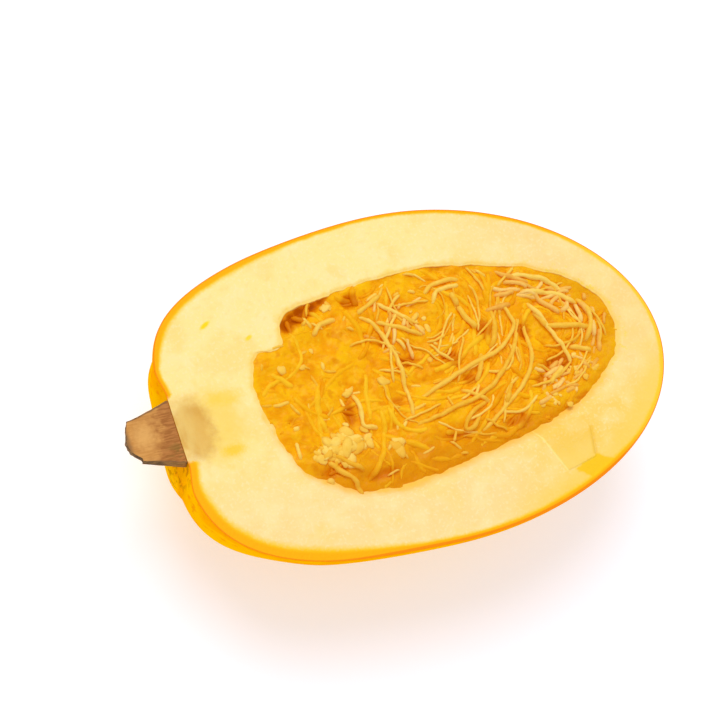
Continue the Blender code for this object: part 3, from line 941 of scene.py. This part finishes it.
bark, shader, place = new_material("stem bark", 0.8, Specular_IOR_Level=0.2)
x, y, z = split(place)
cracks = step(speckle(place, 1.2, 4.0, (6, 1, 1)), 0.38, 0.64)
tone = blend(cracks, colour(96, 72, 46), colour(158, 118, 68))
tone = blend(step(x, -120, -109) * 0.6, tone, colour(176, 124, 56))
tone = blend(step(speckle(place, 2, 3.0), 0.58, 0.7) * 0.5, tone, colour(72, 60, 30))
connect(tone, shader, "Base Color")
connect(bump(place, speckle(place, 0.6, 4.0, (8, 1, 1)), 0.6), shader, "Normal")

wood, shader, place = new_material("stem cut", 0.7, Specular_IOR_Level=0.2)
x, y, z = split(place)
along = (1000 * stem_root - x) / (1000 * stem_length)
tapered = place.maths("MAXIMUM", 1 - along, 0.0) ** 1.3
to_edge = 1000 * end_radius + 1000 * (root_radius - end_radius) * tapered - abs(y)
fibres = speckle(place, 0.7, 4.0, (7, 1, 1))
tone = blend(step(fibres, 0.32, 0.68), colour(198, 136, 66), colour(212, 152, 80))
tone = blend(step(speckle(place, 4, 3.0), 0.4, 0.62) * 0.5, tone, colour(184, 124, 62))
reddish = step(along + (speckle(place, 3, 3.0) - 0.5) * 0.7 + y * 0.012, 0.55, 0.25)
root_tone = blend(step(fibres, 0.42, 0.6), colour(154, 92, 38), colour(180, 114, 56))
tone = blend(reddish * 0.85, tone, root_tone)
tone = blend(blot(place, (-121, 1), (3.6, 4.2), 1.6, 0.7) * 0.7, tone, colour(230, 174, 98))
olive = step(speckle(place, 1.4, 4.0, (3, 1, 1)), 0.46, 0.6) * step(y, -1, -8) * step(along, 0.5, 0.1)
tone = blend(olive * 0.7, tone, colour(128, 98, 34))
tone = blend(step(to_edge + (fibres - 0.5) * 0.8, 0.8, 0.2) * 0.8, tone, colour(116, 84, 54))
tone = blend(step(along + (fibres - 0.5) * 0.08, 1.02, 1.12) * 0.7, tone, colour(128, 92, 58))
connect(tone, shader, "Base Color")
connect(bump(place, fibres * 0.7 + speckle(place, 1.5, 3.0) * 0.3, 0.25), shader, "Normal")

piece = add_piece("stalk", shape, [bark, wood])
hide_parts("stem")


# Floor, light and camera. A white table that glows a little, lit from all round, with one soft lamp up at
# the picture's top left. The camera looks steeply down on the cut, from past the stem end and the -Y side,
# and is rolled as the photographer's was.
tilt = math.radians(27)
side = math.radians(-146)
roll = math.radians(13)
target = Vector((-0.02453, 0.0116, face_z))
camera_distance = 0.95
floor_reach = 4
shape = bmesh.new()
bmesh.ops.create_grid(shape, x_segments=1, y_segments=1, size=floor_reach)
mesh = bpy.data.meshes.new("floor")
shape.to_mesh(mesh)
shape.free()
floor = bpy.data.objects.new("floor", mesh)
scene.collection.objects.link(floor)
table, shader, place = new_material("white table", 0.9, Specular_IOR_Level=0.0)
shader.inputs["Base Color"].default_value = (0.78, 0.78, 0.88, 1)
shader.inputs["Emission Color"].default_value = (1, 1, 1, 1)
shader.inputs["Emission Strength"].default_value = 0.30
mesh.materials.append(table)

backward = Vector((math.sin(tilt) * math.cos(side), math.sin(tilt) * math.sin(side), math.cos(tilt)))
level = (Vector((1, 0, 0)) - backward * backward.x).normalized()
upright = backward.cross(level)
right = level * math.cos(roll) - upright * math.sin(roll)
up = level * math.sin(roll) + upright * math.cos(roll)
camera_data = bpy.data.cameras.new("camera")
camera_data.sensor_width = 36
camera_data.lens = 117.56
camera = bpy.data.objects.new("camera", camera_data)
turned = Matrix((right, up, backward)).transposed().to_4x4()
camera.matrix_world = Matrix.Translation(target + camera_distance * backward) @ turned
scene.collection.objects.link(camera)
scene.camera = camera

lamp_data = bpy.data.lights.new("lamp", "SUN")
lamp_data.energy = 1.25
lamp_data.angle = math.radians(35)
lamp = bpy.data.objects.new("lamp", lamp_data)
lamp.rotation_mode = "QUATERNION"
to_lamp = up * 0.95 - right * 0.5 + Vector((0, 0, 1.9))
lamp.rotation_quaternion = to_lamp.to_track_quat("Z", "Y")
scene.collection.objects.link(lamp)

world = bpy.data.worlds.new("white room")
world.use_nodes = True
world.node_tree.nodes["Background"].inputs["Color"].default_value = (1, 1, 1, 1)
world.node_tree.nodes["Background"].inputs["Strength"].default_value = 0.72
scene.world = world
scene.view_settings.view_transform = "Standard"
